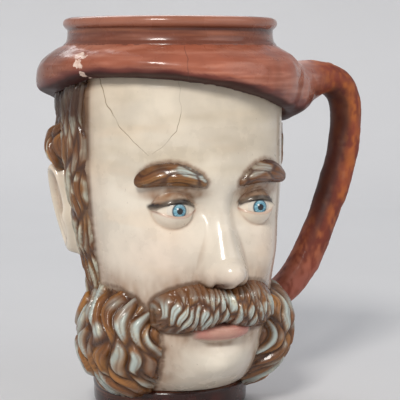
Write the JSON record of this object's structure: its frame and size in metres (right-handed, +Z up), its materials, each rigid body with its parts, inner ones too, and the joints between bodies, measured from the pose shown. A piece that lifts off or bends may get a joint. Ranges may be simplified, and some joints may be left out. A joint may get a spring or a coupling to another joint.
{
  "type": "figural shaving mug",
  "caption": "Ceramic shaving mug shaped as a bearded head in a soft cap, with a rolled lip, a hollow body on a round foot and a side loop handle.",
  "frame": {"origin": "centre of the round foot, on the surface it stands on", "axes": "+Z up through the mouth, the face looks along -Y, the handle is on +X"},
  "size_m": [0.1153, 0.0919, 0.124],
  "materials": {
    "flesh_glaze": "glossy cream flesh glaze with tan washes in the hollows",
    "lip_glaze": "glossy brick red glaze",
    "cap_glaze": "glossy maroon glaze, brushed and mottled",
    "handle_glaze": "glossy maroon glaze with orange-brown streaks",
    "foot_glaze": "glossy dark maroon glaze, bare where it stands",
    "eye_glaze": "glossy off-white glaze with a painted iris",
    "hair_glaze": "glossy brown glaze with pale blue-grey strokes on the raised locks"
  },
  "bodies": {
    "root": {"back_hair": "hair_glaze", "beard_left": "hair_glaze", "beard_right": "hair_glaze", "cap": "cap_glaze", "ear_left": "flesh_glaze", "ear_right": "flesh_glaze", "eye_left": "eye_glaze", "eye_right": "eye_glaze", "eyebrow_left": "hair_glaze", "eyebrow_right": "hair_glaze", "foot_ring": "foot_glaze", "handle": "handle_glaze", "head_shell": "flesh_glaze", "lower_eyelid_left": "flesh_glaze", "lower_eyelid_right": "flesh_glaze", "lower_lip": "lip_glaze", "moustache_left": "hair_glaze", "moustache_right": "hair_glaze", "nose": "flesh_glaze", "rim_collar": "cap_glaze", "sideburn_left": "hair_glaze", "sideburn_right": "hair_glaze", "temple_curl_left": "hair_glaze", "temple_curl_right": "hair_glaze", "upper_eyelid_left": "flesh_glaze", "upper_eyelid_right": "flesh_glaze"}
  },
  "joints": []
}
